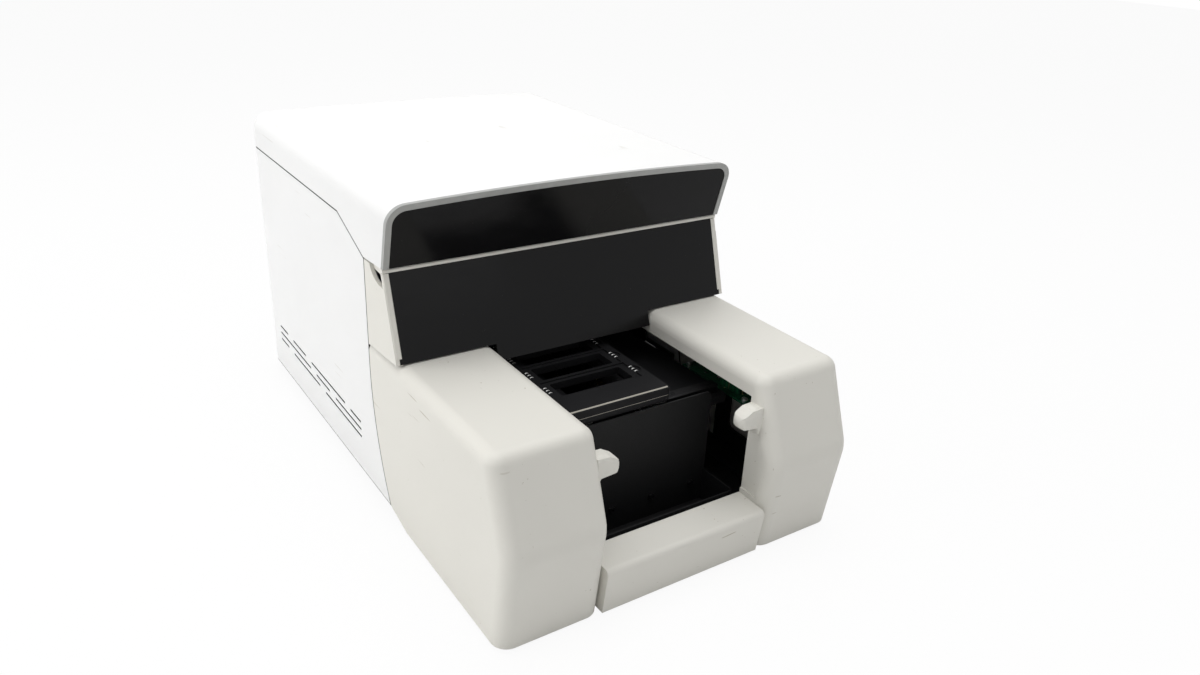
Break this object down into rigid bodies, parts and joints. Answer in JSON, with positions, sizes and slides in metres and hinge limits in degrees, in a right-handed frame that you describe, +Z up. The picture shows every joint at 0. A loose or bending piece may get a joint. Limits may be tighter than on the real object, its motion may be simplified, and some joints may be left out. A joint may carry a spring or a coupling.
{
  "type": "digital slide scanner",
  "caption": "Desktop slide scanner: hinged hood, two forward arms round an open loading bay, and a motorised slide stage under a focusing objective turret.",
  "frame": {"origin": "on the table, under the middle of the whole case", "axes": "+X to the right, front faces -Y, +Z up; +Y is the long way of the case"},
  "size_m": [0.305, 0.5079, 0.2664],
  "materials": {
    "white_cover": "fine moulded texture, cool white",
    "cream_cover": "fine moulded texture, warm off-white",
    "grey_trim": "satin grey",
    "black_gloss": "gloss black",
    "black_anodised": "black anodised, fine bead blast",
    "black_plastic": "matte black",
    "bright_steel": "ground steel",
    "zinc_sheet": "black powder coat",
    "raw_aluminium": "machined",
    "motor_black": "black with bare end caps",
    "rubber": "soft rubber",
    "board_green": "solder mask",
    "glass": "polished",
    "brass": "turned",
    "cage_steel": "galvanised sheet"
  },
  "bodies": {
    "chassis": {"side_panel_left": "white_cover", "side_panel_right": "white_cover", "rear_panel": "white_cover", "case_screws": "bright_steel", "fascia_frame": "cream_cover", "fascia_panel": "black_gloss", "arm_cover_left": "cream_cover", "arm_cover_right": "cream_cover", "front_sill": "cream_cover", "hinge_leaves_fixed": "bright_steel", "hinge_pins": "bright_steel", "base_plate": "zinc_sheet", "feet": "rubber", "bay_liner": "black_plastic", "stage_bed": "black_anodised", "y_rails": "bright_steel", "y_motor": "motor_black", "optics_portal": "raw_aluminium", "focus_rail": "bright_steel", "focus_bearing": "raw_aluminium", "focus_motor": "motor_black", "camera_bracket": "raw_aluminium", "tube_lens": "black_anodised", "camera": "black_anodised", "lamp": "raw_aluminium", "condenser_lens": "glass", "board_standoffs": "brass", "main_board": "board_green", "arm_bracket": "zinc_sheet", "arm_board": "board_green", "power_supply": "cage_steel", "fan_frame": "black_plastic", "power_inlet": "black_plastic", "switch_housing": "black_plastic", "data_port": "cage_steel"},
    "hood": {"hood_shell": "white_cover", "hood_trim": "grey_trim", "hood_band": "black_gloss", "hinge_leaves_hood": "bright_steel"},
    "stage_y": {"y_carriage": "black_anodised", "y_blocks": "bright_steel", "y_nut": "brass", "x_rails": "bright_steel", "x_motor": "motor_black"},
    "stage_x": {"x_carriage": "black_anodised", "x_blocks": "bright_steel", "x_nut": "brass", "slide_tray": "black_anodised"},
    "y_screw": {"y_screw": "bright_steel"},
    "x_screw": {"x_screw": "bright_steel"},
    "focus": {"focus_carriage": "raw_aluminium", "focus_block": "bright_steel", "focus_nut": "brass"},
    "focus_screw": {"focus_screw": "bright_steel"},
    "turret": {"turret": "raw_aluminium", "objectives": "black_anodised"},
    "fan_rotor": {"fan_rotor": "black_plastic"},
    "power_rocker": {"power_rocker": "black_plastic"}
  },
  "joints": [
    {"name": "hood_hinge", "type": "hinge", "parent": "chassis", "child": "hood", "pos_m": [0, 0.2514, 0.2309], "axis": [-1, 0, 0], "range_deg": [0, 62]},
    {"name": "stage_y_slide", "type": "slide", "parent": "chassis", "child": "stage_y", "axis": [0, 1, 0], "range_m": [0, 0.18]},
    {"name": "stage_x_slide", "type": "slide", "parent": "stage_y", "child": "stage_x", "axis": [1, 0, 0], "range_m": [-0.022, 0.054]},
    {"name": "y_screw_turn", "type": "hinge", "parent": "chassis", "child": "y_screw", "pos_m": [0.036, 0, 0.0887], "axis": [0, 1, 0], "range_deg": [-1, 6481]},
    {"name": "x_screw_turn", "type": "hinge", "parent": "stage_y", "child": "x_screw", "pos_m": [0, 0.016, 0.1064], "axis": [1, 0, 0], "range_deg": [-793, 1945]},
    {"name": "focus_slide", "type": "slide", "parent": "chassis", "child": "focus", "axis": [0, 0, 1], "range_m": [-0.0015, 0.008]},
    {"name": "focus_screw_turn", "type": "hinge", "parent": "chassis", "child": "focus_screw", "pos_m": [0.026, 0.1225, 0.2], "axis": [0, 0, 1], "range_deg": [-271, 1441]},
    {"name": "turret_turn", "type": "hinge", "parent": "focus", "child": "turret", "pos_m": [0, 0.061, 0.1725], "axis": [0, 0, 1], "continuous": true},
    {"name": "fan_spin", "type": "hinge", "parent": "chassis", "child": "fan_rotor", "pos_m": [-0.078, 0.235, 0.15], "axis": [0, 1, 0], "continuous": true},
    {"name": "rocker_tip", "type": "hinge", "parent": "chassis", "child": "power_rocker", "pos_m": [0.06, 0.247, 0.052], "axis": [1, 0, 0], "range_deg": [0, 12]}
  ],
  "couplings": [
    {"joint": "y_screw_turn", "follows": "stage_y_slide", "rad_per_m": 628.32},
    {"joint": "x_screw_turn", "follows": "stage_x_slide", "rad_per_m": 628.32},
    {"joint": "focus_screw_turn", "follows": "focus_slide", "rad_per_m": 3141.6}
  ]
}
